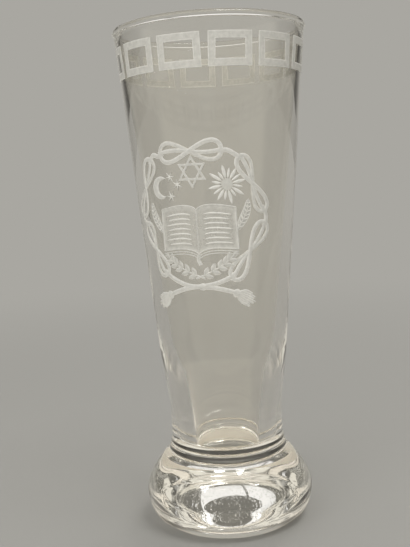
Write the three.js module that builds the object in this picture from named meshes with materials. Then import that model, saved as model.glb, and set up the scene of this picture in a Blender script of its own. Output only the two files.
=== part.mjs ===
// Engraved stemmed glass: a tall flared drinking glass of clear glass on a heavy solid foot.
// It is worked in three gathers that are joined hot, one on top of the other: the foot, a
// short solid stem collar, and the bowl with its thick tapering wall.
// Millimetres, +Z up. The origin is the centre of the foot's underside.

import * as THREE from 'three';

// Foot: a solid bulging bun of glass, flat where it rests, with a polished pontil hollow
const footHeight = 25.2;
const footRestRadius = 25;
const footRestBevel = 0.5;
const footEdgeRadius = 28.2;
const footEdgeHeight = 2.8;
const footBulgeRadius = 30.9;
const footBulgeHeight = 11.4;
const footLowerFullness = 5;
const footUpperFullness = 5.4;
const footShoulderRadius = 24;
const footShoulderDrop = 0.5;
const pontilRadius = 21;
const pontilDepth = 1.9;

// Collar: a solid bead of glass that the foot and the bowl are both joined to
const collarHeight = 3;
const collarEndRadius = 21.5;
const collarSwell = 1;
const collarToFootStep = 0.9;
const collarToBowlStep = 0.4;

// Bowl, outside: heights are measured from its own lower end, where it swells to a heel
const bowlHeight = 151.8;
const heelHeight = 2.5;
const heelSwell = 1;
const waistRadius = 20.8;
const waistEnd = 8;
const outerKneeHeight = 36.4;
const outerKneeRadius = 23.6;
const outerKneePull = 12;
const lipHeight = 9;
const lipStartRadius = 33.3;
const lipWall = 1.6;
const rimRadius = 34.5;

// Rim: fire polishing draws it up into a round bead, which meets the wall below its middle
const rimBead = 2.6;
const rimNeckAngle = 40 * Math.PI / 180;

// Bowl, inside: a narrow well that opens in a curve, then a soft knee and a long cone
const floorThickness = 1.2;
const floorRadius = 12;
const floorDish = 0.6;
const floorRounding = 1;
const wellRadius = 12.2;
const wellHeight = 15.8;
const innerKneeHeight = 36;
const innerKneeRadius = 18.7;
const innerKneeBend = 6;

// Fineness of the faceted surfaces
const turns = 64;
const curveSteps = 7;

const collarLevel = footHeight;
const bowlLevel = collarLevel + collarHeight;

function clearGlass(name) {
  const material = new THREE.MeshStandardMaterial();
  material.name = name;
  material.color.set('#dfe3dd');
  material.roughness = 0.03;
  material.metalness = 0;
  return material;
}

// A solid of revolution: its outline runs from the axis round the outside and back to the axis
function turned(name, outline) {
  const geometry = new THREE.LatheGeometry(outline.getPoints(curveSteps), turns);
  geometry.rotateX(Math.PI / 2);
  const mesh = new THREE.Mesh(geometry, clearGlass(`${name}_glass`));
  mesh.name = name;
  return mesh;
}

// The point that lies a given distance from one corner on the way to the next
function towards(corner, next, distance) {
  const step = next.clone().sub(corner).setLength(distance);
  return corner.clone().add(step);
}

function makeFoot() {
  const topRadius = collarEndRadius + collarToFootStep;
  const outline = new THREE.Path();
  outline.moveTo(0, pontilDepth);
  outline.quadraticCurveTo(pontilRadius / 2, pontilDepth, pontilRadius, 0);
  outline.lineTo(footRestRadius - footRestBevel, 0);
  outline.lineTo(footRestRadius, footRestBevel);
  outline.lineTo(footEdgeRadius, footEdgeHeight);
  outline.quadraticCurveTo(
    footBulgeRadius, footBulgeHeight - footLowerFullness,
    footBulgeRadius, footBulgeHeight,
  );
  outline.quadraticCurveTo(
    footBulgeRadius, footBulgeHeight + footUpperFullness,
    footShoulderRadius, footHeight - footShoulderDrop,
  );
  outline.lineTo(topRadius, footHeight);
  outline.lineTo(0, footHeight);
  return turned('foot', outline);
}

function makeCollar() {
  const outline = new THREE.Path();
  outline.moveTo(0, 0);
  outline.lineTo(collarEndRadius, 0);
  outline.quadraticCurveTo(
    collarEndRadius + collarSwell, collarHeight / 2,
    collarEndRadius, collarHeight,
  );
  outline.lineTo(0, collarHeight);
  const collar = turned('collar', outline);
  collar.position.z = collarLevel;
  return collar;
}

function makeBowl() {
  const beadRadius = rimBead / 2;
  const beadLevel = bowlHeight - beadRadius;
  const beadMiddle = rimRadius - beadRadius;
  const lipLevel = bowlHeight - lipHeight;
  const outerKnee = new THREE.Vector2(outerKneeRadius, outerKneeHeight);
  const outerLip = new THREE.Vector2(lipStartRadius, lipLevel);
  const innerLip = new THREE.Vector2(lipStartRadius - lipWall, lipLevel);
  const innerKnee = new THREE.Vector2(innerKneeRadius, innerKneeHeight);
  const well = new THREE.Vector2(wellRadius, wellHeight);
  const floorCorner = new THREE.Vector2(floorRadius, floorThickness);
  const kneeTangent = towards(outerKnee, outerLip, -outerKneePull);
  const outerTangent = towards(outerLip, outerKnee, -lipHeight / 2);
  const innerTangent = towards(innerLip, innerKnee, -lipHeight / 2);
  const bendTop = towards(innerKnee, innerLip, innerKneeBend);
  const bendEnd = towards(innerKnee, well, innerKneeBend);
  const roundStart = towards(floorCorner, well, floorRounding);
  const dishDepth = Math.min(floorDish, floorThickness / 2);

  const outline = new THREE.Path();
  outline.moveTo(0, 0);
  outline.lineTo(collarEndRadius - collarToBowlStep, 0);
  outline.quadraticCurveTo(
    waistRadius + heelSwell, heelHeight / 2,
    waistRadius, heelHeight,
  );
  outline.lineTo(waistRadius, waistEnd);
  outline.bezierCurveTo(
    waistRadius, waistEnd + outerKneePull,
    kneeTangent.x, kneeTangent.y,
    outerKnee.x, outerKnee.y,
  );
  outline.lineTo(outerLip.x, outerLip.y);
  outline.quadraticCurveTo(
    outerTangent.x, outerTangent.y,
    beadMiddle + beadRadius * Math.cos(rimNeckAngle), beadLevel - beadRadius * Math.sin(rimNeckAngle),
  );
  outline.absarc(beadMiddle, beadLevel, beadRadius, -rimNeckAngle, Math.PI + rimNeckAngle);
  outline.quadraticCurveTo(innerTangent.x, innerTangent.y, innerLip.x, innerLip.y);
  outline.lineTo(bendTop.x, bendTop.y);
  outline.quadraticCurveTo(innerKnee.x, innerKnee.y, bendEnd.x, bendEnd.y);
  outline.quadraticCurveTo(well.x, well.y, roundStart.x, roundStart.y);
  outline.quadraticCurveTo(
    floorCorner.x, floorCorner.y,
    floorCorner.x - floorRounding, floorThickness - dishDepth / 2,
  );
  outline.lineTo(0, floorThickness - dishDepth);
  const bowl = turned('bowl', outline);
  bowl.position.z = bowlLevel;
  return bowl;
}

const glass = new THREE.Group();
glass.add(makeFoot(), makeCollar(), makeBowl());

export default glass;
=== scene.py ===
# Engraved drinking glass: a tall flared bowl of clear glass on a short collar and a heavy solid
# foot, with matt wheel-engraved ornament: a band of cut frames under the rim, and on the front a
# rope wreath round a star, a moon, a sun and an open book.
# Metres, +Z up, origin at the centre of the foot's underside. The medallion faces -Y.

import math

import bmesh
import bpy
from bpy.props import FloatProperty, IntProperty, PointerProperty, StringProperty
from mathutils import Matrix, Vector
from mathutils.geometry import interpolate_bezier


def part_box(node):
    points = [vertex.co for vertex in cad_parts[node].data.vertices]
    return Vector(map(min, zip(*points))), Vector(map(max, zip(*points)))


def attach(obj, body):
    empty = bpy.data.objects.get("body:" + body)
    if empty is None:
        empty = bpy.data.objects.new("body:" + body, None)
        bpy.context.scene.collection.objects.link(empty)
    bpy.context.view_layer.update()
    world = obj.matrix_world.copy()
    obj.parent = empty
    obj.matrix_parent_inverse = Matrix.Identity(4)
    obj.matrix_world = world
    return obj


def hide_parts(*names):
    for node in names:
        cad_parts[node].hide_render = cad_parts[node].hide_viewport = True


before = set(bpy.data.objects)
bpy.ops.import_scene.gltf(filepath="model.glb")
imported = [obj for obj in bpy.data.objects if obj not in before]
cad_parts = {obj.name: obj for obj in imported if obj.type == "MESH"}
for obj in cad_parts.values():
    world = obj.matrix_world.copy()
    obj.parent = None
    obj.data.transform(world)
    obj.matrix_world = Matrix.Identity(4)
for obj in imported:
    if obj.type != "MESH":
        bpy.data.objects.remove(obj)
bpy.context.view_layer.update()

bl_info = {
    "name": "Engraved Drinking Glass",
    "version": (1, 0, 0),
    "blender": (4, 5, 0),
    "location": "View3D > Sidebar > Glass",
    "description": "Builds an engraved drinking glass, its ornament and a plain studio",
    "category": "Add Mesh",
}

MM = 0.001
FOOT_LOW, FOOT_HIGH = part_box("foot")
COLLAR_LOW, COLLAR_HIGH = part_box("collar")
BOWL_LOW, BOWL_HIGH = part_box("bowl")


# Sizes that a user would change

def measure(name, description, metres):
    """A length property whose default is given in metres."""
    return FloatProperty(
        name=name, description=description, default=metres, unit="LENGTH", precision=5,
    )


def length(name, description, millimetres):
    """A length property whose default is given in millimetres."""
    return measure(name, description, millimetres * MM)


def rotation(name, description, degrees):
    """An angle property whose default is given in degrees."""
    return FloatProperty(
        name=name, description=description, default=math.radians(degrees), subtype="ANGLE",
        unit="ROTATION",
    )


def lamp_power(name, description, watts):
    """The power of a lamp, or of all the lamps that make up a window."""
    return FloatProperty(name=name, description=description, default=watts, unit="POWER")


def colour(name, description, value):
    """An sRGB colour property, written as a hex value."""
    return StringProperty(name=name, description=description, default=value)


class FootSizes(bpy.types.PropertyGroup):
    """Sizes of the solid foot."""
    height: measure("Height", "From the rest to the joint with the collar", FOOT_HIGH.z - FOOT_LOW.z)
    bulge_radius: measure("Bulge radius", "Widest radius of the foot", FOOT_HIGH.x)
    bulge_height: length("Bulge height", "Height of the widest place", 11.4)
    rest_radius: length("Rest radius", "Outer radius of the ground rest", 25)
    rest_bevel: length("Rest bevel", "Small bevel round the rest", 0.5)
    edge_radius: length("Edge radius", "Radius where the slanted edge ends", 28.2)
    edge_height: length("Edge height", "Height where the slanted edge ends", 2.8)
    lower_fullness: length("Lower fullness", "How full the side is below the bulge", 5)
    upper_fullness: length("Upper fullness", "How full the side is above the bulge", 5.4)
    shoulder_radius: length("Shoulder radius", "Radius at the top of the shoulder", 24)
    shoulder_drop: length("Shoulder drop", "Fall from the joint to the shoulder", 0.5)
    joint_step: length("Joint step", "Width of the ledge outside the collar", 0.9)
    pontil_radius: length("Pontil radius", "Radius of the polished hollow underneath", 21)
    pontil_depth: length("Pontil depth", "Depth of the polished hollow", 1.9)


class CollarSizes(bpy.types.PropertyGroup):
    """Sizes of the collar between foot and bowl."""
    end_radius: length("End radius", "Radius at both joints", 21.5)
    swell: length("Swell", "How far the outline is pulled out between the joints", 1)


class BowlSizes(bpy.types.PropertyGroup):
    """Sizes of the bowl, with heights from its own lower end."""
    rim_radius: measure("Rim radius", "Outer radius of the rim", BOWL_HIGH.x)
    rim_bead: length("Rim bead", "Diameter of the fire-polished bead on the rim", 2.6)
    rim_neck: rotation("Rim neck", "How far round the bead goes before it meets the wall", 40)
    lip_wall: length("Lip wall", "Thickness of the wall where the lip starts", 1.6)
    end_radius: length("End radius", "Radius at the joint with the collar", 21.1)
    heel_height: length("Heel height", "Height of the heel above the collar", 2.5)
    heel_swell: length("Heel swell", "How far the heel is pulled out", 1)
    waist_radius: length("Waist radius", "Narrowest radius", 20.8)
    waist_end: length("Waist end", "Height where the bowl starts to flare", 8)
    knee_height: length("Outer knee height", "Height where the long cone starts", 36.4)
    knee_radius: length("Outer knee radius", "Radius where the long cone starts", 23.6)
    knee_pull: length("Outer knee pull", "Softness of the outer knee", 12)
    lip_height: length("Lip height", "Height of the lip that turns out", 9)
    lip_radius: length("Lip radius", "Outer radius where the lip starts", 33.3)
    floor_thickness: length("Floor thickness", "Glass under the drink", 1.2)
    floor_radius: length("Floor radius", "Radius of the floor inside", 12)
    floor_dish: length("Floor dish", "How deep the floor is dished", 0.6)
    floor_rounding: length("Floor rounding", "Rounding between floor and wall", 1)
    well_radius: length("Well radius", "Radius of the narrow well above the floor", 12.2)
    well_height: length("Well height", "Height where the well opens to the knee", 15.8)
    inner_knee_height: length("Inner knee height", "Height of the knee inside", 36)
    inner_knee_radius: length("Inner knee radius", "Radius of the knee inside", 18.7)
    inner_knee_bend: length("Inner knee bend", "Length of the soft bend inside", 6)


class CutSizes(bpy.types.PropertyGroup):
    """Sizes of the wheel cuts."""
    sink: length("Sink", "How deep the matt skin reaches into the glass", 0.42)
    deep_rise: length("Deep crown", "Crown of a deep round cut", 0.2)
    flat_rise: length("Flat crown", "Crown of a flat matt ground", 0.06)
    strand: length("Strand width", "Width of the rope", 1.5)
    line: length("Line width", "Width of a fine line", 0.5)


class FriezeSizes(bpy.types.PropertyGroup):
    """Sizes of the band of cut frames under the rim."""
    count: IntProperty(name="Frames", description="Frames round the glass", default=12, min=3)
    top_drop: length("Drop", "From the rim down to the band", 6.8)
    width: length("Width", "Width of one frame along the wall", 14.75)
    height: length("Height", "Height of one frame", 11.1)
    band: length("Band", "Width of the matt band of a frame", 2.45)
    turn: rotation("Turn", "Angle from the medallion to the nearest frame", -3.4)
    drift: rotation("Drift", "How far the hand-set spacing drifts at the back", -3.2)


class MedallionSizes(bpy.types.PropertyGroup):
    """Places and sizes in the medallion, which faces the front."""
    height: length("Centre height", "Height of the middle of the medallion", 112)
    star_radius: length("Star radius", "Radius of the six-pointed star", 5.6)
    star_band: length("Star band", "Width of the star's bars", 0.75)
    moon_radius: length("Moon radius", "Outer radius of the crescent", 3.8)
    moon_width: length("Moon width", "Greatest width of the crescent", 2.7)
    little_star: length("Little star radius", "Radius of the small stars", 1.9)
    sun_radius: length("Sun radius", "Radius of the sun's disc", 2)
    ray_end: length("Ray end", "Radius at the tips of the long rays", 6.5)
    page_width: length("Page width", "Width of one page of the book", 13.6)
    page_height: length("Page height", "Height of a page at its outer edge", 14.2)
    page_arch: length("Page arch", "How far the pages arch up", 1.6)
    rule_gap: length("Rule gap", "Distance between the lines in the book", 1.6)
    leaf: length("Leaf length", "Length of a laurel leaf", 3.3)


class Finishes(bpy.types.PropertyGroup):
    """Colours of the glass and of the cuts, in sRGB."""
    glass: colour("Glass", "Clear glass", "#FFFEFB")
    glass_cord: colour("Glass cords", "Denser cords in the glass", "#FBF9F4")
    # The cuts run from matt to deep: deep is also the painted highlight along the edges of every cut
    matt: colour("Matt ground", "Lightly ground matt surface", "#D6D4CC")
    deep: colour("Deep cut", "Deeply cut matt surface", "#ECEAE2")


class StageSettings(bpy.types.PropertyGroup):
    """The plain studio."""
    paper: colour("Paper", "Floor and background", "#A9A7A1")
    paper_fibre: colour("Paper fibre", "Faint fibres in the floor", "#A5A39D")
    # The card and its reaches paint patches on the paper that only the glass sees: the white card and disc
    # are painted light
    card: colour("Card", "White cards in front and underneath, which only the glass sees", "#FFF7E8")
    painted_light_reach: length("Card reach", "How far the front card reaches from the axis", 80)
    painted_shade_reach: length("Dark card reach", "How far the dark card reaches from the axis", 54)
    painted_light_disc_reach: length("Disc reach", "Radius of the white disc under the foot", 36)
    # Dim is also the dark card: painted shade on the paper behind the foot
    dim: colour("Dim studio", "Dark card, and what the glass sees beside the paper", "#3E3C38")
    haze: colour("Hazy studio", "What the glass sees above the paper", "#6E6C66")
    pale: colour("Pale studio", "What the glass sees low in front of it", "#E6E2D6")
    ceiling: colour("Ceiling", "The diffuser up in front that the glass sees", "#EAE6D9")
    sky_level: FloatProperty(
        name="Sky level", description="Even light from all round", default=0.5, subtype="FACTOR",
    )
    key_power: lamp_power("Window power", "Light of all four panes", 6)
    far_power: lamp_power("Far window power", "Light of both far panes", 0.7)
    fill_power: lamp_power("Fill power", "Light of the broad soft lamp in front", 12)
    back_power: lamp_power("Back power", "Light of the soft lamp behind", 3)
    distance: length("Camera distance", "From the axis of the glass", 299.1)
    camera_height: length("Camera height", "Above the floor", 124.3)
    azimuth: rotation("Azimuth", "Camera to the right of the medallion", 14.5)
    pitch: rotation("Pitch", "Camera looks down by this", 6.22)
    swing: rotation("Swing", "Camera looks left of the glass by this", 1.06)
    roll: rotation("Roll", "Camera leans by this", -2.85)


class GlassSettings(bpy.types.PropertyGroup):
    """Everything that the panel shows."""
    foot: PointerProperty(type=FootSizes)
    collar: PointerProperty(type=CollarSizes)
    bowl: PointerProperty(type=BowlSizes)
    cut: PointerProperty(type=CutSizes)
    frieze: PointerProperty(type=FriezeSizes)
    medallion: PointerProperty(type=MedallionSizes)
    finish: PointerProperty(type=Finishes)
    stage: PointerProperty(type=StageSettings)


# Fineness of the meshes
TURNS = 384
BEND_STEPS = 14
RIM_STEPS = 48
STRAIGHT_STEPS = 6
CREASE = math.radians(28)

# Points nearer than this are one point, and the faces of a joint lie this close to its height
MERGE = 0.001 * MM
JOINT_BAND = 0.01 * MM

# Share of a lamp's light that goes straight on at each surface: of the bowl, of foot and collar
BOWL_SHADE = 0.82
SOLID_SHADE = 0.2

# Painted light in front of the foot and painted shade behind it, on the paper: half the width of their soft
# outer edge, and where they show in full, in front of the axis and behind it
PAINTED_LIGHT_AND_SHADE_BLUR = 5 * MM
PAINTED_LIGHT_EDGE = -15 * MM
PAINTED_SHADE_EDGE = 10 * MM

# Where the paper starts to fade into the background, and where it has
FADE_START = 120 * MM
FADE_END = 750 * MM

# How many bounces of light are followed in the glass, and how many straight passes
GLASS_BOUNCES = 96
STRAIGHT_BOUNCES = 32

# Places in the medallion, in millimetres to the right of and above its centre
STAR_PLACE = (-0.5, 16.8)
MOON_PLACE = (-12.9, 12.0)
LITTLE_STAR_PLACES = ((-8.7, 15.4), (-5.9, 12.8), (-8.6, 9.0))
SUN_PLACE = (11.1, 12.2)
BOOK_PLACE = (0.1, -2.6)
BINDING_PLACE = (0.6, -22.1)
RIBBON = ((0.3, -11.0), (-0.3, -12.6), (0.4, -14.6))

# Rope knots: centre, tilt in degrees, length and half width
KNOTS = (
    ((-1.0, 23.6), 1.0, 23.4, 3.9),
    ((20.1, 12.0), -66.8, 21.6, 3.2),
    ((-21.3, 12.1), -114.1, 22.5, 3.6),
    ((-18.2, -9.2), -62.7, 21.5, 3.3),
    ((17.7, -10.6), -125.2, 24.1, 3.3),
)

# Rope between the knots, and from the lower knots across each other to the tassels
LINKS = (
    ((8.6, 23.0), (11.5, 23.4), (13.8, 22.3), (16.4, 20.4)),
    ((-10.6, 23.4), (-13.2, 22.6), (-15.4, 23.0), (-17.6, 20.2)),
    ((23.4, 4.4), (24.7, 1.6), (24.6, -0.8), (23.4, -2.6)),
    ((-25.0, 3.8), (-25.6, 1.6), (-24.2, 0.4), (-22.4, -1.4)),
    ((-14.2, -16.6), (-12.0, -18.4), (-8.4, -20.3), (-4.4, -21.7), (1.0, -22.2), (6.0, -22.9), (11.4, -24.5)),
    ((12.2, -17.8), (9.4, -19.6), (5.2, -21.1), (0.8, -21.9), (-3.6, -22.3), (-7.4, -23.2), (-12.0, -24.8)),
)

# Tassels: place and heading in degrees, and the threads of each
TASSELS = (((11.4, -24.5), -29), ((-12.0, -24.8), -149))
THREADS = 7

# Right hand quill, from where it leaves the book to its tip, and right hand laurel stem
QUILL_SHAFT = ((13.4, -3.4), (15.6, -0.2), (17.4, 3.2), (18.2, 7.0))
LAUREL_STEM = ((-1.6, -19.2), (1.5, -18.1), (5.6, -16.2), (8.8, -14.4), (11.4, -12.2))


# Plain helpers

def settings():
    return bpy.context.scene.engraved_glass


def linear(value):
    """The linear colour of an sRGB hex value."""
    parts = [int(value[place:place + 2], 16) / 255 for place in (1, 3, 5)]
    return [
        part / 12.92 if part <= 0.04045 else ((part + 0.055) / 1.055) ** 2.4
        for part in parts
    ] + [1.0]


def add_node(tree, kind, inputs=None, **values):
    """Adds a node with its settings and inputs. An input is a constant, an sRGB hex colour, a
    socket, or a node whose first output in use is meant."""
    node = tree.nodes.new(kind)
    for key, value in values.items():
        setattr(node, key, value)
    for key, value in (inputs or {}).items():
        if isinstance(value, bpy.types.Node):
            value = next(output for output in value.outputs if output.enabled)
        if isinstance(value, bpy.types.NodeSocket):
            tree.links.new(value, node.inputs[key])
        else:
            node.inputs[key].default_value = linear(value) if isinstance(value, str) else value
    return node


def new_material(name):
    material = bpy.data.materials.get(name)
    if material:
        return material, None
    material = bpy.data.materials.new(name)
    material.use_nodes = True
    material.node_tree.nodes.clear()
    return material, material.node_tree


def bend(start, corner, end, steps=BEND_STEPS):
    """A quadratic bend from start to end that heads for the corner, without its first point."""
    start, corner, end = Vector(start), Vector(corner), Vector(end)
    first, second = start.lerp(corner, 2 / 3), end.lerp(corner, 2 / 3)
    return interpolate_bezier(start, first, second, end, steps + 1)[1:]


def towards(corner, other, distance):
    """The point at a distance from one corner on the way to another."""
    corner, other = Vector(corner), Vector(other)
    return corner + (other - corner).normalized() * distance


def straight_run(start, end):
    """Points on a straight stretch, without its first point."""
    start, end = Vector(start), Vector(end)
    return [start.lerp(end, step / STRAIGHT_STEPS) for step in range(1, STRAIGHT_STEPS + 1)]


def around(angle):
    return Vector((math.cos(angle), math.sin(angle)))


# Materials

def clear_glass(name="blown_soda_glass", shade=BOWL_SHADE, pitted=False):
    """Soda glass, fire polished: clear, faintly warm grey, with soft waves and cords.
    Where the pontil was ground away and polished, fine pits are left."""
    material, tree = new_material(name)
    if not tree:
        return material
    finish = settings().finish
    place = add_node(tree, "ShaderNodeTexCoord").outputs["Object"]
    # Cords of denser glass run round the axis about every 9 mm, drawn out by the turning
    drawn = add_node(tree, "ShaderNodeMapping", {"Vector": place, "Scale": (1, 1, 0.35)})
    cords = add_node(
        tree, "ShaderNodeTexNoise",
        {"Vector": drawn, "Scale": 1 / (9 * MM), "Detail": 2, "Roughness": 0.4},
    )
    tint = add_node(
        tree, "ShaderNodeMix", {"A": finish.glass, "B": finish.glass_cord, "Factor": cords},
        data_type="RGBA",
    )
    # The fire-polished skin waves by a few hundredths of a millimetre over 16 mm
    waves = add_node(tree, "ShaderNodeTexNoise", {"Vector": place, "Scale": 1 / (16 * MM), "Detail": 1})
    skin = add_node(tree, "ShaderNodeBump", {"Height": waves, "Strength": 1.0, "Distance": 0.03 * MM})
    if pitted:
        # Pits of about 0.3 mm
        pits = add_node(tree, "ShaderNodeTexVoronoi", {"Vector": place, "Scale": 1 / (0.5 * MM)})
        pit = add_node(tree, "ShaderNodeMapRange", {"Value": pits, "From Min": 0.05, "From Max": 0.35})
        skin = add_node(
            tree, "ShaderNodeBump",
            {"Height": pit, "Normal": skin, "Strength": 1.0, "Distance": 0.025 * MM},
        )
    glass = add_node(
        tree, "ShaderNodeBsdfPrincipled",
        {"Base Color": tint, "Normal": skin, "IOR": 1.52, "Roughness": 0.0, "Transmission Weight": 1.0},
    )
    # Lamps reach the floor straight through the glass, dimmed by what it bends aside
    clear = add_node(tree, "ShaderNodeBsdfTransparent", {"Color": (shade, shade, shade, 1)})
    shadow = add_node(tree, "ShaderNodeLightPath").outputs["Is Shadow Ray"]
    mixed = add_node(tree, "ShaderNodeMixShader", {0: shadow, 1: glass, 2: clear})
    add_node(tree, "ShaderNodeOutputMaterial", {"Surface": mixed})
    return material


def gathered_glass():
    """The same glass in a solid gather, which bends most of the light out of its own shadow."""
    return clear_glass("gathered_soda_glass", SOLID_SHADE)


def hot_joint():
    """Where two gathers are fused hot nothing is seen: the glass runs on."""
    material, tree = new_material("fused_glass_joint")
    if tree:
        clear = add_node(tree, "ShaderNodeBsdfTransparent")
        add_node(tree, "ShaderNodeOutputMaterial", {"Surface": clear})
    return material


def ground_frost():
    """Glass ground by a stone wheel: a matt white grain, whiter and more opaque along the edges of each cut,
    a painted highlight where the walls of the sunken cut would catch the light.
    """
    material, tree = new_material("wheel_ground_glass")
    if not tree:
        return material
    finish = settings().finish
    # Painted highlight: how far the matt is whitened, most along the edges of each cut
    depth = add_node(tree, "ShaderNodeAttribute", attribute_name="matt_and_painted_highlight").outputs["Fac"]
    place = add_node(tree, "ShaderNodeTexCoord").outputs["Object"]
    # Real grit is under 0.1 mm: drawn as 0.35 mm, or it would not show at this distance
    grit = add_node(tree, "ShaderNodeTexNoise", {"Vector": place, "Scale": 1 / (0.35 * MM), "Detail": 2})
    # Passes of the wheel leave lighter and darker streaks about 1.5 mm apart
    passes = add_node(tree, "ShaderNodeTexNoise", {"Vector": place, "Scale": 1 / (1.5 * MM), "Detail": 1})
    grain = add_node(tree, "ShaderNodeMath", {0: grit, 1: 0.5, 2: passes}, operation="MULTIPLY_ADD")
    shade = add_node(
        tree, "ShaderNodeMapRange",
        {"Value": grain, "From Min": 0.5, "From Max": 1.0, "To Min": -0.09, "To Max": 0.09},
    )
    tone = add_node(tree, "ShaderNodeMath", {0: depth, 1: shade}, operation="ADD", use_clamp=True)
    white = add_node(
        tree, "ShaderNodeMix", {"A": finish.matt, "B": finish.deep, "Factor": tone}, data_type="RGBA",
    )
    cover = add_node(tree, "ShaderNodeMapRange", {"Value": tone, "To Min": 0.2, "To Max": 0.92})
    rough = add_node(tree, "ShaderNodeMapRange", {"Value": grit, "To Min": 0.7, "To Max": 0.95})
    relief = add_node(tree, "ShaderNodeBump", {"Height": grit, "Strength": 0.5, "Distance": 0.04 * MM})
    frost = add_node(
        tree, "ShaderNodeBsdfPrincipled",
        {"Base Color": white, "Roughness": rough, "Alpha": cover, "Normal": relief, "IOR": 1.5},
    )
    add_node(tree, "ShaderNodeOutputMaterial", {"Surface": frost})
    return material


# Pieces of clear glass

def turned(name, outline, joints, materials, pit_level=0.0, pit_radius=0.0):
    """Spins an outline into a piece of glass. The second material goes on the joints, each given
    by height and radius, and the third below the pit level and inside the pit radius."""
    shape = bmesh.new()
    points = [shape.verts.new((point[0], 0, point[1])) for point in outline]
    lines = [shape.edges.new(pair) for pair in zip(points, points[1:])]
    bmesh.ops.spin(
        shape, geom=points + lines, axis=(0, 0, 1), cent=(0, 0, 0), dvec=(0, 0, 0),
        angle=math.tau, steps=TURNS, use_merge=True, use_duplicate=False,
    )
    bmesh.ops.remove_doubles(shape, verts=shape.verts, dist=MERGE)
    for face in shape.faces:
        centre = face.calc_center_median()
        for height, radius in joints:
            if abs(centre.z - height) < JOINT_BAND and centre.xy.length < radius:
                face.material_index = 1
        if centre.z < pit_level and centre.xy.length < pit_radius:
            face.material_index = 2
    return finished(name, shape, materials)


def finished(name, shape, materials):
    """Recalculates the normals, marks creases, makes the object at the origin and lets it ride on
    the root body."""
    bmesh.ops.recalc_face_normals(shape, faces=shape.faces)
    for face in shape.faces:
        face.smooth = True
    for edge in shape.edges:
        if len(edge.link_faces) == 2:
            edge.smooth = edge.calc_face_angle() < CREASE
    mesh = bpy.data.meshes.new(name)
    shape.to_mesh(mesh)
    shape.free()
    for material in materials:
        mesh.materials.append(material)
    piece = bpy.data.objects.new(name, mesh)
    bpy.context.scene.collection.objects.link(piece)
    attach(piece, "root")
    return piece


def foot_outline():
    """Outline of the foot as radius and height, from the axis underneath to the axis on top."""
    foot, collar = settings().foot, settings().collar
    low = FOOT_LOW.z
    top = low + foot.height
    bulge = (foot.bulge_radius, low + foot.bulge_height)
    edge = (foot.edge_radius, low + foot.edge_height)
    shoulder = (foot.shoulder_radius, top - foot.shoulder_drop)
    hollow = (0, low + foot.pontil_depth)
    rim = (foot.pontil_radius, low)
    outline = [hollow]
    outline += bend(hollow, (foot.pontil_radius / 2, hollow[1]), rim)
    outline += [(foot.rest_radius - foot.rest_bevel, low), (foot.rest_radius, low + foot.rest_bevel)]
    outline += [edge]
    outline += bend(edge, (bulge[0], bulge[1] - foot.lower_fullness), bulge)
    outline += bend(bulge, (bulge[0], bulge[1] + foot.upper_fullness), shoulder)
    outline += [(collar.end_radius + foot.joint_step, top), (collar.end_radius, top), (0, top)]
    return outline


def collar_outline():
    collar, bowl = settings().collar, settings().bowl
    low, high = COLLAR_LOW.z, COLLAR_HIGH.z
    start, end = (collar.end_radius, low), (collar.end_radius, high)
    outline = [(0, low), start]
    outline += bend(start, (collar.end_radius + collar.swell, (low + high) / 2), end)
    outline += [(bowl.end_radius, high), (0, high)]
    return outline


def rim_bead():
    """The round bead that fire polishing leaves on the rim, from its outer to its inner neck."""
    bowl = settings().bowl
    half = bowl.rim_bead / 2
    centre = Vector((bowl.rim_radius - half, BOWL_HIGH.z - half))
    start, end = -bowl.rim_neck, math.pi + bowl.rim_neck
    turns = [start + (end - start) * step / RIM_STEPS for step in range(RIM_STEPS + 1)]
    return [centre + half * around(turn) for turn in turns]


def bowl_outside():
    """Outer outline of the bowl as radius and height, from the collar up to the rim."""
    bowl = settings().bowl
    low, high = BOWL_LOW.z, BOWL_HIGH.z
    end = (bowl.end_radius, low)
    heel = (bowl.waist_radius, low + bowl.heel_height)
    waist = (bowl.waist_radius, low + bowl.waist_end)
    knee = (bowl.knee_radius, low + bowl.knee_height)
    lip = (bowl.lip_radius, high - bowl.lip_height)
    outline = [end]
    outline += bend(end, (bowl.waist_radius + bowl.heel_swell, low + bowl.heel_height / 2), heel)
    outline += [waist]
    outline += interpolate_bezier(
        Vector(waist), Vector((waist[0], waist[1] + bowl.knee_pull)),
        towards(knee, lip, -bowl.knee_pull), Vector(knee), 2 * BEND_STEPS,
    )[1:]
    outline += straight_run(knee, lip)
    neck = rim_bead()[0]
    outline += bend(lip, towards(lip, knee, -bowl.lip_height / 2), neck)
    return outline


def bowl_inside():
    """Outline from the rim over and down to the middle of the floor."""
    bowl = settings().bowl
    low, high = BOWL_LOW.z, BOWL_HIGH.z
    outline = rim_bead()[1:]
    inner_lip = Vector((bowl.lip_radius - bowl.lip_wall, high - bowl.lip_height))
    inner_knee = Vector((bowl.inner_knee_radius, low + bowl.inner_knee_height))
    corner = Vector((bowl.floor_radius, low + bowl.floor_thickness))
    outline += bend(outline[-1], towards(inner_lip, inner_knee, -bowl.lip_height / 2), inner_lip)
    bend_top = towards(inner_knee, inner_lip, bowl.inner_knee_bend)
    outline += straight_run(inner_lip, bend_top)
    well = (bowl.well_radius, low + bowl.well_height)
    bend_end = towards(inner_knee, well, bowl.inner_knee_bend)
    outline += bend(bend_top, inner_knee, bend_end)
    floor_level = low + bowl.floor_thickness
    round_start = towards(corner, well, bowl.floor_rounding)
    outline += bend(bend_end, well, round_start, 2 * BEND_STEPS)
    round_end = (corner.x - bowl.floor_rounding, floor_level - bowl.floor_dish / 2)
    outline += bend(round_start, corner, round_end)
    middle = (0, floor_level - bowl.floor_dish)
    outline += bend(round_end, (round_end[0] / 2, middle[1]), middle)
    return outline


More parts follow.
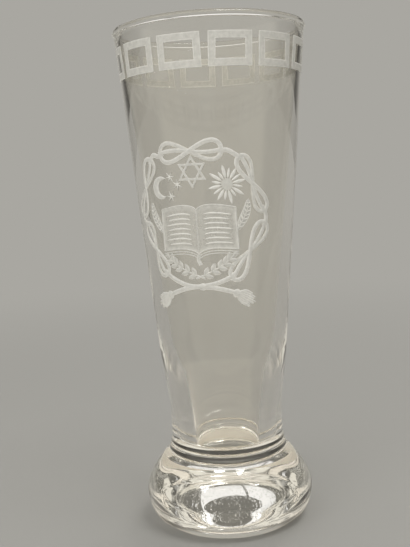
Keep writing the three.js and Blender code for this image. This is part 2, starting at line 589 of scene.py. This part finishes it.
class GLASS_OT_foot(bpy.types.Operator):
    """Turns the solid bulging foot with its ground rest and polished pontil hollow"""
    bl_idname = "engraved_glass.foot"
    bl_label = "Foot"

    def execute(self, context):
        foot = settings().foot
        joint = (FOOT_HIGH.z, settings().collar.end_radius)
        pit_level = FOOT_LOW.z + foot.pontil_depth * 1.1
        pitted = clear_glass("polished_pontil_glass", SOLID_SHADE, pitted=True)
        piece = turned(
            "clear_foot", foot_outline(), [joint], [gathered_glass(), hot_joint(), pitted],
            pit_level, foot.pontil_radius,
        )
        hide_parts("foot")
        return {"FINISHED"}


class GLASS_OT_collar(bpy.types.Operator):
    """Turns the short collar between the foot and the bowl"""
    bl_idname = "engraved_glass.collar"
    bl_label = "Collar"

    def execute(self, context):
        joints = [
            (COLLAR_LOW.z, settings().collar.end_radius),
            (COLLAR_HIGH.z, settings().bowl.end_radius),
        ]
        piece = turned("clear_collar", collar_outline(), joints, [gathered_glass(), hot_joint()])
        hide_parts("collar")
        return {"FINISHED"}


class GLASS_OT_bowl(bpy.types.Operator):
    """Turns the tall flared bowl with its tapering wall and rounded rim"""
    bl_idname = "engraved_glass.bowl"
    bl_label = "Bowl"

    def execute(self, context):
        outline = [(0, BOWL_LOW.z)] + bowl_outside() + bowl_inside()
        joint = (BOWL_LOW.z, settings().bowl.end_radius)
        piece = turned("clear_bowl", outline, [joint], [clear_glass(), hot_joint()])
        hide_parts("bowl")
        return {"FINISHED"}


# Wheel cuts, laid out flat as run along the wall, height and rise, then wrapped on the bowl

def wall_radius(outline, height):
    """Outer radius of the bowl at a height."""
    for lower, upper in zip(outline, outline[1:]):
        if lower[1] <= height <= upper[1]:
            share = (height - lower[1]) / max(upper[1] - lower[1], MERGE)
            return lower[0] + share * (upper[0] - lower[0])
    return outline[-1][0]


def wrapped(name, shape):
    """Wraps a flat cut piece round the bowl, each cut at its own turn from the front."""
    turns = shape.verts.layers.float["turn"]
    outline = bowl_outside()
    radii = {}
    for vertex in shape.verts:
        run, height, rise = vertex.co
        key = round(height, 6)
        if key not in radii:
            radii[key] = wall_radius(outline, height)
        radius = radii[key]
        angle = vertex[turns] + run / radius
        vertex.co = (
            (radius + rise) * math.sin(angle),
            -(radius + rise) * math.cos(angle),
            height,
        )
    piece = finished(name, shape, [ground_frost()])
    return piece


def new_cut():
    shape = bmesh.new()
    shape.verts.layers.float.new("matt_and_painted_highlight")
    shape.verts.layers.float.new("turn")
    return shape


def add_cut(shape, along, across, place, turn=0.0):
    """Adds one closed matt skin. place(s, t) gives its run, height, rise and how white its matt is, which
    carries the painted highlight along the edges of a cut.
    """
    earlier = set(shape.faces)
    grid = bmesh.ops.create_grid(shape, x_segments=along, y_segments=across, size=0.5)["verts"]
    # This layer holds the matt's whiteness with its painted highlight
    depth = shape.verts.layers.float["matt_and_painted_highlight"]
    turns = shape.verts.layers.float["turn"]
    for vertex in grid:
        run, height, rise, cut = place(vertex.co.x + 0.5, vertex.co.y + 0.5)
        vertex.co = (run, height, rise)
        vertex[depth] = cut
        vertex[turns] = turn
    bmesh.ops.remove_doubles(shape, verts=grid, dist=2 * MERGE)
    skin = [face for face in shape.faces if face not in earlier]
    made = bmesh.ops.extrude_face_region(shape, geom=skin)["geom"]
    under = [part for part in made if isinstance(part, bmesh.types.BMVert)]
    bmesh.ops.translate(shape, verts=under, vec=(0, 0, -settings().cut.sink))


def crown(t):
    """0 at both sides of a cut and 1 in its middle."""
    return 1 - (2 * t - 1) ** 2


def value_at(amount, s):
    """An amount that is a plain number, or a function of s along a stroke."""
    return amount(s) if callable(amount) else amount


def heading_at(path, s, step=0.01):
    """Heading of a path at s, which runs from 0 to 1."""
    return (path(min(s + step, 1)) - path(max(s - step, 0))).normalized()


def add_stroke(shape, path, width, rise, steps, across=4, edge=1.0, middle=0.66, lift=0.0):
    """Adds a cut along a path with a crowned section, whitest along its edges by a painted highlight."""

    def place(s, t):
        side = heading_at(path, s, 0.004).orthogonal()
        point = path(s) + side * (t - 0.5) * value_at(width, s)
        level = rise * crown(t) + value_at(lift, s)
        return point.x, point.y, level, edge + (middle - edge) * crown(t)

    add_cut(shape, steps, across, place)


def add_ring(shape, outer, inner, steps, rise, edge=0.95, middle=0.6, turn=0.0):
    """Adds a mitred band between two outlines with as many corners."""
    corners = len(outer)

    def place(s, t):
        side = min(int(s * corners + 1e-6), corners - 1)
        share = s * corners - side
        following = (side + 1) % corners
        outside = outer[side].lerp(outer[following], share)
        inside = inner[side].lerp(inner[following], share)
        # The band's crown and its painted highlight: whitest at both edges, plainer in the middle
        bevel = min(1, crown(t) * 2)
        point = outside.lerp(inside, t)
        return point.x, point.y, rise * bevel, edge + (middle - edge) * bevel

    add_cut(shape, corners * steps, 6, place, turn)


def medallion_point(place):
    """A point in the flat layout from millimetres right of and above the medallion's centre."""
    return Vector((0, settings().medallion.height)) + Vector(place) * MM


def through(points):
    """A smooth path through points given in millimetres from the medallion's centre."""
    knots = [medallion_point(point) for point in points]
    knots = [2 * knots[0] - knots[1]] + knots + [2 * knots[-1] - knots[-2]]
    spans = len(knots) - 3

    def path(s):
        span = min(int(s * spans), spans - 1)
        u = s * spans - span
        before, start, end, after = knots[span:span + 4]
        return (
            start + (end - before) * u / 2
            + (2 * before - 5 * start + 4 * end - after) * u * u / 2
            + (3 * start - 3 * end + after - before) * u ** 3 / 2
        )

    return path


def straight_path(start, end):
    return lambda s: start.lerp(end, s)


def lens(greatest, power=0.7):
    """Width of a pointed stroke that is widest in its middle."""
    return lambda s: max(greatest * math.sin(math.pi * s) ** power, 0.05 * MM)


def taper(start, end):
    """Width of a stroke that narrows evenly."""
    return lambda s: start + (end - start) * s


def uneven(amount, copy, pace, start=0.0):
    """A small change from one copy to the next, as in work that is done by hand."""
    return amount * math.sin(copy * pace + start)


class GLASS_OT_frieze(bpy.types.Operator):
    """Cuts the band of upright frames under the rim"""
    bl_idname = "engraved_glass.frieze"
    bl_label = "Frieze of frames"

    def execute(self, context):
        frieze, cut = settings().frieze, settings().cut
        centre = Vector((0, BOWL_HIGH.z - frieze.top_drop - frieze.height / 2))
        corners = ((-1, -1), (1, -1), (1, 1), (-1, 1))
        shape = new_cut()
        for copy in range(frieze.count):
            lean = uneven(0.12 * MM, copy, 2.4)
            half_width = frieze.width / 2 * (1 + uneven(0.012, copy, 1.7, 1))
            half_height = frieze.height / 2
            outer, inner = (
                [
                    centre + Vector((x * (half_width - inset) + lean * y, y * (half_height - inset)))
                    for x, y in corners
                ]
                for inset in (0, frieze.band)
            )
            turn = math.tau * copy / frieze.count
            drift = frieze.drift * ((1 - math.cos(turn)) / 2) ** 2
            add_ring(
                shape, outer, inner, steps=12, rise=cut.flat_rise, turn=frieze.turn + turn + drift,
            )
        wrapped("frieze_frames", shape)
        return {"FINISHED"}


class GLASS_OT_rope(bpy.types.Operator):
    """Cuts the rope wreath with its five love knots"""
    bl_idname = "engraved_glass.rope"
    bl_label = "Rope wreath"

    def execute(self, context):
        cut = settings().cut
        shape = new_cut()
        # A strand rises where it crosses over another
        weave = 0.09 * MM
        for centre, tilt, size, half in KNOTS:
            self.add_knot(shape, medallion_point(centre), math.radians(tilt), size * MM, half * MM, weave)
        for points in LINKS:
            add_stroke(shape, through(points), cut.strand * 1.05, cut.deep_rise, steps=12 * len(points))
        # The two strands cross in a small bound ring
        middle, reach = medallion_point(BINDING_PLACE), Vector((1.3 * MM, 0))

        def belly(s):
            return 2.5 * MM * math.sin(math.pi * (0.12 + 0.76 * s)) ** 0.6

        binding = straight_path(middle - reach, middle + reach)
        add_stroke(shape, binding, belly, cut.deep_rise + weave, steps=12, across=6)
        wrapped("rope_wreath", shape)
        return {"FINISHED"}

    def add_knot(self, shape, centre, tilt, size, half, weave):
        """A figure of eight with a third strand drawn through both of its loops."""
        cut = settings().cut
        along = around(tilt)
        across = along.orthogonal()
        reach = (size - cut.strand) / 2

        def loop(s):
            angle = math.tau * s
            bow = math.sin(2 * angle) * (half - cut.strand / 2)
            return centre + along * reach * math.cos(angle) + across * bow

        def core(s):
            x = 2 * s - 1
            return centre + along * size / 2 * x - across * 0.16 * half * math.sin(math.pi * x)

        def over(s):
            return weave * math.sin(math.tau * s)

        add_stroke(shape, loop, cut.strand, cut.deep_rise, steps=96, lift=over)
        add_stroke(shape, core, cut.strand * 0.9, cut.deep_rise, steps=48)


class GLASS_OT_tassels(bpy.types.Operator):
    """Cuts the two tassels at the ends of the rope"""
    bl_idname = "engraved_glass.tassels"
    bl_label = "Tassels"

    def execute(self, context):
        cut = settings().cut
        shape = new_cut()
        head_start, neck, head_end, head_width = -0.6 * MM, 1.5 * MM, 1.9 * MM, 3.1 * MM
        for place, tilt in TASSELS:
            start, along = medallion_point(place), around(math.radians(tilt))
            head = straight_path(start + along * head_start, start + along * head_end)
            add_stroke(shape, head, lens(head_width, 0.45), cut.deep_rise * 1.6, steps=12, across=6)
            for thread in range(THREADS):
                self.add_thread(shape, start + along * neck, along, thread)
        wrapped("tassels", shape)
        return {"FINISHED"}

    def add_thread(self, shape, neck, along, thread):
        """A thread that spreads from the neck. The middle ones hang furthest."""
        spread = thread / (THREADS - 1) - 0.5
        reach = (6.6 - 3.2 * abs(spread)) * MM + uneven(0.5 * MM, thread, 2.6, math.pi / 2)

        def hang(s):
            belly = (1.6 + 2.9 * min(1, 2.4 * s) ** 0.6) * MM
            return neck + along * reach * s + along.orthogonal() * spread * belly

        def width(s):
            return (0.5 + 0.35 * math.sin(math.pi * s) ** 0.5) * MM

        add_stroke(shape, hang, width, settings().cut.deep_rise, steps=16, middle=0.75)


class GLASS_OT_star(bpy.types.Operator):
    """Cuts the six-pointed star of two crossed triangles"""
    bl_idname = "engraved_glass.star"
    bl_label = "Six-pointed star"

    def execute(self, context):
        medallion, cut = settings().medallion, settings().cut
        centre = medallion_point(STAR_PLACE)
        radii = (medallion.star_radius, medallion.star_radius - 2 * medallion.star_band)
        shape = new_cut()
        for start in (90, 270):
            turns = [math.radians(start + 120 * corner) for corner in range(3)]
            outer, inner = ([centre + around(turn) * radius for turn in turns] for radius in radii)
            add_ring(shape, outer, inner, steps=12, rise=cut.deep_rise / 2, middle=0.7)
        wrapped("six_pointed_star", shape)
        return {"FINISHED"}


class GLASS_OT_moon(bpy.types.Operator):
    """Cuts the crescent moon, open to the right"""
    bl_idname = "engraved_glass.moon"
    bl_label = "Crescent"

    def execute(self, context):
        medallion, cut = settings().medallion, settings().cut
        centre = medallion_point(MOON_PLACE)
        gap = math.radians(46)

        def arc(s):
            angle = gap + (math.tau - 2 * gap) * s
            inward = medallion.moon_width / 2 * math.sin(math.pi * s)
            return centre + around(angle) * (medallion.moon_radius - inward)

        shape = new_cut()
        add_stroke(shape, arc, lens(medallion.moon_width, 0.85), cut.deep_rise, steps=48, across=6)
        wrapped("crescent_moon", shape)
        return {"FINISHED"}


class GLASS_OT_little_stars(bpy.types.Operator):
    """Cuts the three small stars beside the moon"""
    bl_idname = "engraved_glass.little_stars"
    bl_label = "Small stars"

    def execute(self, context):
        medallion, cut = settings().medallion, settings().cut
        shape = new_cut()
        for copy, place in enumerate(LITTLE_STAR_PLACES):
            centre = medallion_point(place)
            # Three strokes cross in each star, and each star is tilted otherwise
            for turn in (8, 68, 128):
                reach = around(math.radians(turn + 25 * copy)) * medallion.little_star
                arm = straight_path(centre - reach, centre + reach)
                add_stroke(shape, arm, lens(cut.line, 0.8), cut.deep_rise, steps=12, middle=0.95)
        wrapped("small_stars", shape)
        return {"FINISHED"}


class GLASS_OT_sun(bpy.types.Operator):
    """Cuts the sun: a matt disc and sixteen rays"""
    bl_idname = "engraved_glass.sun"
    bl_label = "Rayed sun"

    def execute(self, context):
        medallion, cut = settings().medallion, settings().cut
        centre = medallion_point(SUN_PLACE)
        shape = new_cut()

        def disc(s, t):
            point = centre + around(math.tau * s) * medallion.sun_radius * t
            return point.x, point.y, cut.deep_rise * (1 - t * t), 0.6

        add_cut(shape, along=32, across=5, place=disc)
        rays = 16
        # Long and short rays take turns: share of the full reach, and width
        kinds = ((1, 1.1 * MM), (0.82, 0.85 * MM))
        for ray in range(rays):
            share, width = kinds[ray % 2]
            heading = around(math.tau * (ray + 0.5) / rays)
            end = medallion.ray_end * (share + uneven(0.06, ray, 2.3))
            path = straight_path(centre + heading * medallion.sun_radius * 0.96, centre + heading * end)
            add_stroke(shape, path, lens(width, 0.6), cut.deep_rise, steps=14, middle=0.95)
        wrapped("rayed_sun", shape)
        return {"FINISHED"}


class GLASS_OT_book(bpy.types.Operator):
    """Cuts the open book with its ruled lines, page edges and ribbon"""
    bl_idname = "engraved_glass.book"
    bl_label = "Open book"

    def execute(self, context):
        cut = settings().cut
        shape = new_cut()
        for hand in (-1, 1):
            self.add_page(shape, hand)
        foot, head = self.page_point(0, 0), self.page_point(0, 1)
        add_stroke(shape, straight_path(foot, head), cut.line, cut.deep_rise, steps=24, lift=cut.flat_rise)
        # A ribbon hangs out of the middle of the book
        ribbon = through([(foot - medallion_point((0, 0))) / MM, *RIBBON])
        add_stroke(shape, ribbon, 1.3 * MM, cut.deep_rise / 2, steps=24)
        wrapped("open_book", shape)
        return {"FINISHED"}

    def page_point(self, across, up):
        """A point of the book: across runs from the spine, -1 to 1, and up from foot to head."""
        medallion = settings().medallion
        reach = abs(across)
        arch = medallion.page_arch * (math.sin(math.pi * reach ** 0.62) - 0.35 * (1 - reach))
        foot = -medallion.page_height / 2 + arch - 0.9 * MM * (1 - reach)
        head = medallion.page_height / 2 + arch
        spread = medallion.page_width * across * (1 - 0.02 * up)
        return medallion_point(BOOK_PLACE) + Vector((spread, foot + (head - foot) * up))

    def add_page(self, shape, hand):
        medallion, cut = settings().medallion, settings().cut

        def page(s, t):
            point = self.page_point(hand * s, t)
            # Near its head, foot and outer edge the page is raised less and whitened more: a painted
            # highlight
            inside = min(1, 8 * min(t, 1 - t, 1 - s))
            return point.x, point.y, cut.flat_rise * inside, 0.7 - 0.5 * inside

        add_cut(shape, along=24, across=16, place=page)
        # Head and outer edge of the page, then its foot and two more leaves that show below it
        edges = [
            (lambda s: self.page_point(hand * s, 1), cut.line),
            (lambda s: self.page_point(hand, s), cut.line * 1.2),
        ]
        leaf_gap = 0.85 * MM
        for leaf in range(3):
            drop = Vector((0, -leaf * leaf_gap))
            edges.append((lambda s, drop=drop: self.page_point(hand * s, 0) + drop, cut.line * 0.8))
        for path, width in edges:
            add_stroke(shape, path, width, cut.deep_rise, steps=24, lift=cut.flat_rise)
        start = 0.16
        rules = int(medallion.page_height / medallion.rule_gap) - 1
        for rule in range(rules):
            up = (rule + 1) * medallion.rule_gap / medallion.page_height + 0.02
            # Words end at different places, so the lines do too
            end = 0.84 + uneven(0.05, rule, 2.3, hand)
            add_stroke(
                shape, lambda s, up=up, end=end: self.page_point(hand * (start + (end - start) * s), up),
                lens(cut.line * 1.25, 0.35), cut.deep_rise, steps=20, middle=0.95, lift=cut.flat_rise,
            )


class GLASS_OT_quills(bpy.types.Operator):
    """Cuts the two quills that cross behind the book"""
    bl_idname = "engraved_glass.quills"
    bl_label = "Crossed quills"

    def execute(self, context):
        cut = settings().cut
        shape = new_cut()
        vane_width, shaft_start, shaft_end = 3.1 * MM, 0.6 * MM, 0.25 * MM
        for hand in (-1, 1):
            vane = through([(hand * x, y) for x, y in QUILL_SHAFT])
            add_stroke(shape, vane, lens(vane_width, 0.5), cut.flat_rise, steps=28, across=8, middle=0.3)
            add_stroke(
                shape, vane, taper(shaft_start, shaft_end), cut.deep_rise, steps=28, lift=cut.flat_rise,
            )
            self.add_barbs(shape, vane)
        wrapped("crossed_quills", shape)
        return {"FINISHED"}

    def add_barbs(self, shape, vane):
        """Fine slanted lines on both sides of the shaft."""
        cut = settings().cut
        barbs, longest = 7, 1.35 * MM
        for barb in range(barbs):
            s = 0.12 + 0.74 * barb / (barbs - 1)
            root, heading = vane(s), heading_at(vane, s)
            reach = longest * math.sin(math.pi * min(s + 0.06, 1)) ** 0.55
            for side in (-1, 1):
                tip = root + heading.orthogonal() * side * reach + heading * reach * 0.9
                add_stroke(
                    shape, straight_path(root, tip), lens(cut.line * 0.8, 0.4), cut.deep_rise, steps=8,
                    middle=0.95, lift=cut.flat_rise,
                )


class GLASS_OT_sprigs(bpy.types.Operator):
    """Cuts the two laurel sprigs that cradle the book"""
    bl_idname = "engraved_glass.sprigs"
    bl_label = "Laurel sprigs"

    def execute(self, context):
        cut = settings().cut
        shape = new_cut()
        stem_start, stem_end = 0.75 * MM, 0.35 * MM
        pairs, leaf_turn = 5, math.radians(38)
        for hand in (-1, 1):
            stem = through([(hand * x, y) for x, y in LAUREL_STEM])
            add_stroke(shape, stem, taper(stem_start, stem_end), cut.deep_rise, steps=48)
            for pair in range(pairs):
                s = 0.24 + 0.62 * pair / (pairs - 1)
                for turn in (-leaf_turn, leaf_turn):
                    self.add_leaf(shape, stem(s), heading_at(stem, s), turn)
            self.add_leaf(shape, stem(0.98), heading_at(stem, 1, 0.02), 0)
        wrapped("laurel_sprigs", shape)
        return {"FINISHED"}

    def add_leaf(self, shape, root, heading, turn):
        leaf_width = 1.6 * MM
        tip = root + Matrix.Rotation(turn, 2) @ heading * settings().medallion.leaf
        add_stroke(
            shape, straight_path(root, tip), lens(leaf_width, 0.8), settings().cut.deep_rise, steps=14,
            across=6, edge=0.95, middle=0.5,
        )


# Stage

def paper():
    """Seamless studio paper, matt, with faint fibres. Far out it turns into the background. Where the glass
    sees it and the camera doesn't, it is painted: a white card in front of the foot and a white disc under
    it, painted light that the glass shows as bright streaks, and a dark card behind the foot, painted shade
    that the glass shows as dark lines."""
    material, tree = new_material("seamless_paper")
    if not tree:
        return material
    stage = settings().stage
    place = add_node(tree, "ShaderNodeTexCoord").outputs["Object"]
    # Fibres about 0.6 mm across
    fibre = add_node(tree, "ShaderNodeTexNoise", {"Vector": place, "Scale": 1 / (0.6 * MM), "Detail": 3})
    tone = add_node(
        tree, "ShaderNodeMix", {"A": stage.paper, "B": stage.paper_fibre, "Factor": fibre},
        data_type="RGBA",
    )
    distance = add_node(tree, "ShaderNodeVectorMath", {0: place}, operation="LENGTH")
    back = add_node(tree, "ShaderNodeSeparateXYZ", {"Vector": place}).outputs["Y"]
    seen = add_node(tree, "ShaderNodeLightPath").outputs["Is Camera Ray"]
    unseen = add_node(tree, "ShaderNodeMath", {0: 1.0, 1: seen}, operation="SUBTRACT")
    sides = []
    for edge in (PAINTED_LIGHT_EDGE, PAINTED_SHADE_EDGE):
        side = add_node(
            tree, "ShaderNodeMapRange", {"Value": back, "From Min": 0.0, "From Max": edge},
            interpolation_type="SMOOTHSTEP",
        )
        sides.append(add_node(tree, "ShaderNodeMath", {0: unseen, 1: side}, operation="MULTIPLY"))
    in_front, behind = sides
    # Patches of painted light in front of and under the foot, and of painted shade behind it, which only the
    # glass sees
    cards = (
        (stage.card, in_front, stage.painted_light_reach),
        (stage.dim, behind, stage.painted_shade_reach),
        (stage.card, unseen, stage.painted_light_disc_reach),
    )
    for tint, side, reach in cards:
        near = add_node(
            tree, "ShaderNodeMapRange",
            {"Value": distance, "From Min": reach + PAINTED_LIGHT_AND_SHADE_BLUR, "From Max": reach - PAINTED_LIGHT_AND_SHADE_BLUR},
            interpolation_type="SMOOTHSTEP",
        )
        cover = add_node(tree, "ShaderNodeMath", {0: side, 1: near}, operation="MULTIPLY")
        tone = add_node(tree, "ShaderNodeMix", {"A": tone, "B": tint, "Factor": cover}, data_type="RGBA")
    matt = add_node(
        tree, "ShaderNodeBsdfPrincipled",
        {"Base Color": tone, "Roughness": 0.9, "Specular IOR Level": 0.1},
    )
    glow = add_node(tree, "ShaderNodeEmission", {"Color": stage.paper, "Strength": 1.0})
    far = add_node(
        tree, "ShaderNodeMapRange",
        {"Value": distance, "From Min": FADE_START, "From Max": FADE_END},
        interpolation_type="SMOOTHSTEP",
    )
    mixed = add_node(tree, "ShaderNodeMixShader", {0: far, 1: matt, 2: glow})
    add_node(tree, "ShaderNodeOutputMaterial", {"Surface": mixed})
    return material


def studio_world():
    """Even light all round. The camera sees the paper's colour. Glass sees the paper too, and a
    studio that is dark above the paper and beside it, and pale in front."""
    stage = settings().stage
    world = bpy.data.worlds.new("studio")
    world.use_nodes = True
    tree = world.node_tree
    tree.nodes.clear()
    heading = add_node(tree, "ShaderNodeTexCoord").outputs["Generated"]
    turned_heading = add_node(
        tree, "ShaderNodeVectorRotate", {"Vector": heading, "Angle": -stage.azimuth},
        rotation_type="Z_AXIS",
    )
    parts = add_node(tree, "ShaderNodeSeparateXYZ", {"Vector": turned_heading}).outputs
    sideways = add_node(tree, "ShaderNodeMath", {0: parts["X"]}, operation="ABSOLUTE")
    # A part of the heading, and its values where a change of tone starts and ends
    changes = (
        (sideways, 0.32, 0.6), (parts["Z"], 0.3, 0.5), (parts["Z"], 0.45, 0.8), (parts["Y"], -0.2, 0.1),
    )
    beside, above, overhead, behind = [
        add_node(
            tree, "ShaderNodeMapRange", {"Value": part, "From Min": start, "From Max": end},
            interpolation_type="SMOOTHSTEP",
        )
        for part, start, end in changes
    ]
    back = stage.paper
    for tint, factor in ((stage.dim, beside), (stage.haze, above)):
        back = add_node(tree, "ShaderNodeMix", {"A": back, "B": tint, "Factor": factor}, data_type="RGBA")
    tone = stage.pale
    rays = add_node(tree, "ShaderNodeLightPath").outputs
    for tint, factor in (
        (stage.ceiling, overhead), (back, behind), (stage.paper, rays["Is Camera Ray"]),
    ):
        tone = add_node(tree, "ShaderNodeMix", {"A": tone, "B": tint, "Factor": factor}, data_type="RGBA")
    visible = rays["Is Camera Ray"]
    for ray in ("Is Glossy Ray", "Is Transmission Ray"):
        visible = add_node(tree, "ShaderNodeMath", {0: visible, 1: rays[ray]}, operation="MAXIMUM")
    light = add_node(tree, "ShaderNodeBackground", {"Color": "#FFFFFF", "Strength": stage.sky_level})
    background = add_node(tree, "ShaderNodeBackground", {"Color": tone})
    mixed = add_node(tree, "ShaderNodeMixShader", {0: visible, 1: light, 2: background})
    add_node(tree, "ShaderNodeOutputWorld", {"Surface": mixed})
    return world


def add_lamps(name, power, size, azimuth, elevation, distance=1.4, columns=1, rows=1, mirrored=False):
    """A lamp, or a window of lamps with bars between them, that faces the middle of the glass.
    Azimuth is from the front towards the right, and elevation from level, in degrees. Only what is
    mirrored shows in the glass."""
    target, bar = Vector((0, 0, 0.09)), 0.024
    azimuth, elevation = math.radians(azimuth), math.radians(elevation)
    out = Vector((
        math.sin(azimuth) * math.cos(elevation), -math.cos(azimuth) * math.cos(elevation),
        math.sin(elevation),
    ))
    turn = out.to_track_quat("Z", "Y")
    for column in range(columns):
        for row in range(rows):
            data = bpy.data.lights.new(f"{name}_{column}_{row}", "AREA")
            data.shape = "RECTANGLE"
            data.size, data.size_y = size
            data.energy = power / (columns * rows)
            lamp = bpy.data.objects.new(data.name, data)
            bpy.context.scene.collection.objects.link(lamp)
            slide = Vector((
                (column - (columns - 1) / 2) * (size[0] + bar),
                (row - (rows - 1) / 2) * (size[1] + bar), 0,
            ))
            lamp.rotation_mode = "QUATERNION"
            lamp.rotation_quaternion = turn
            lamp.location = target + out * distance + turn @ slide
            lamp.visible_camera = False
            lamp.visible_glossy = lamp.visible_transmission = mirrored


class GLASS_OT_stage(bpy.types.Operator):
    """Lays the paper floor and sets the camera, the lamps and the world"""
    bl_idname = "engraved_glass.stage"
    bl_label = "Stage"

    def execute(self, context):
        self.make_floor()
        self.make_camera()
        self.make_lamps()
        scene = bpy.context.scene
        scene.world = studio_world()
        scene.view_settings.view_transform = "Standard"
        # Light runs up the wall of the bowl by many reflections inside the glass
        cycles = scene.cycles
        cycles.max_bounces = cycles.transmission_bounces = cycles.glossy_bounces = GLASS_BOUNCES
        cycles.transparent_max_bounces = STRAIGHT_BOUNCES
        return {"FINISHED"}

    def make_floor(self):
        # The floor lies a little lower, so that the rest of the foot doesn't sink into it
        radius, drop = 6, 0.2 * MM
        shape = bmesh.new()
        bmesh.ops.create_circle(shape, cap_ends=True, segments=96, radius=radius)
        bmesh.ops.translate(shape, verts=shape.verts, vec=(0, 0, -drop))
        mesh = bpy.data.meshes.new("floor")
        shape.to_mesh(mesh)
        shape.free()
        mesh.materials.append(paper())
        floor = bpy.data.objects.new("floor", mesh)
        bpy.context.scene.collection.objects.link(floor)

    def make_camera(self):
        stage = settings().stage
        picture_height, focal_pixels, sensor = 547, 811.7, 36
        data = bpy.data.cameras.new("camera")
        data.sensor_width = sensor
        data.lens = focal_pixels / picture_height * sensor
        data.clip_start, data.clip_end = 0.01, 20
        camera = bpy.data.objects.new("camera", data)
        bpy.context.scene.collection.objects.link(camera)
        azimuth = stage.azimuth
        place = Vector((
            math.sin(azimuth) * stage.distance, -math.cos(azimuth) * stage.distance,
            stage.camera_height,
        ))
        # Upright and level it looks at the axis, then it swings left, looks down and rolls
        turn = (
            Matrix.Rotation(azimuth + stage.swing, 4, "Z")
            @ Matrix.Rotation(math.pi / 2 - stage.pitch, 4, "X")
            @ Matrix.Rotation(stage.roll, 4, "Z")
        )
        camera.matrix_world = Matrix.Translation(place) @ turn
        bpy.context.scene.camera = camera

    def make_lamps(self):
        stage = settings().stage
        # A window of four panes, up to the right of the camera, and one of two behind the glass
        add_lamps(
            "window", stage.key_power, size=(0.32, 0.17), azimuth=57, elevation=63, columns=2, rows=2,
            mirrored=True,
        )
        add_lamps(
            "far_window", stage.far_power, size=(0.43, 0.33), azimuth=201.5, elevation=35.6, columns=2,
            mirrored=True,
        )
        # Broad soft lamps in front and behind
        add_lamps("soft_front", stage.fill_power, size=(1.5, 0.8), azimuth=-14, elevation=15, distance=1.6)
        add_lamps("soft_back", stage.back_power, size=(0.7, 0.35), azimuth=160, elevation=48, distance=1.5)


class GLASS_PT_panel(bpy.types.Panel):
    """Lists the pieces of the engraved glass"""
    bl_label = "Engraved Glass"
    bl_idname = "GLASS_PT_panel"
    bl_space_type = "VIEW_3D"
    bl_region_type = "UI"
    bl_category = "Glass"

    def draw(self, context):
        for operator in OPERATORS:
            self.layout.operator(operator.bl_idname)
        glass = context.scene.engraved_glass
        for group in ("foot", "collar", "bowl", "cut", "frieze", "medallion", "finish", "stage"):
            box = self.layout.box()
            box.label(text=group.capitalize())
            sizes = getattr(glass, group)
            for name in sizes.__annotations__:
                box.prop(sizes, name)


OPERATORS = (
    GLASS_OT_stage, GLASS_OT_foot, GLASS_OT_collar, GLASS_OT_bowl, GLASS_OT_frieze, GLASS_OT_rope,
    GLASS_OT_tassels, GLASS_OT_star, GLASS_OT_moon, GLASS_OT_little_stars, GLASS_OT_sun,
    GLASS_OT_book, GLASS_OT_quills, GLASS_OT_sprigs,
)
GROUPS = (
    FootSizes, CollarSizes, BowlSizes, CutSizes, FriezeSizes, MedallionSizes, Finishes,
    StageSettings, GlassSettings,
)


def register():
    for item in GROUPS + OPERATORS + (GLASS_PT_panel,):
        bpy.utils.register_class(item)
    bpy.types.Scene.engraved_glass = PointerProperty(type=GlassSettings)


def unregister():
    del bpy.types.Scene.engraved_glass
    for item in reversed(GROUPS + OPERATORS + (GLASS_PT_panel,)):
        bpy.utils.unregister_class(item)


def main():
    register()
    for operator in OPERATORS:
        group, name = operator.bl_idname.split(".")
        getattr(getattr(bpy.ops, group), name)()


if __name__ == "__main__":
    main()
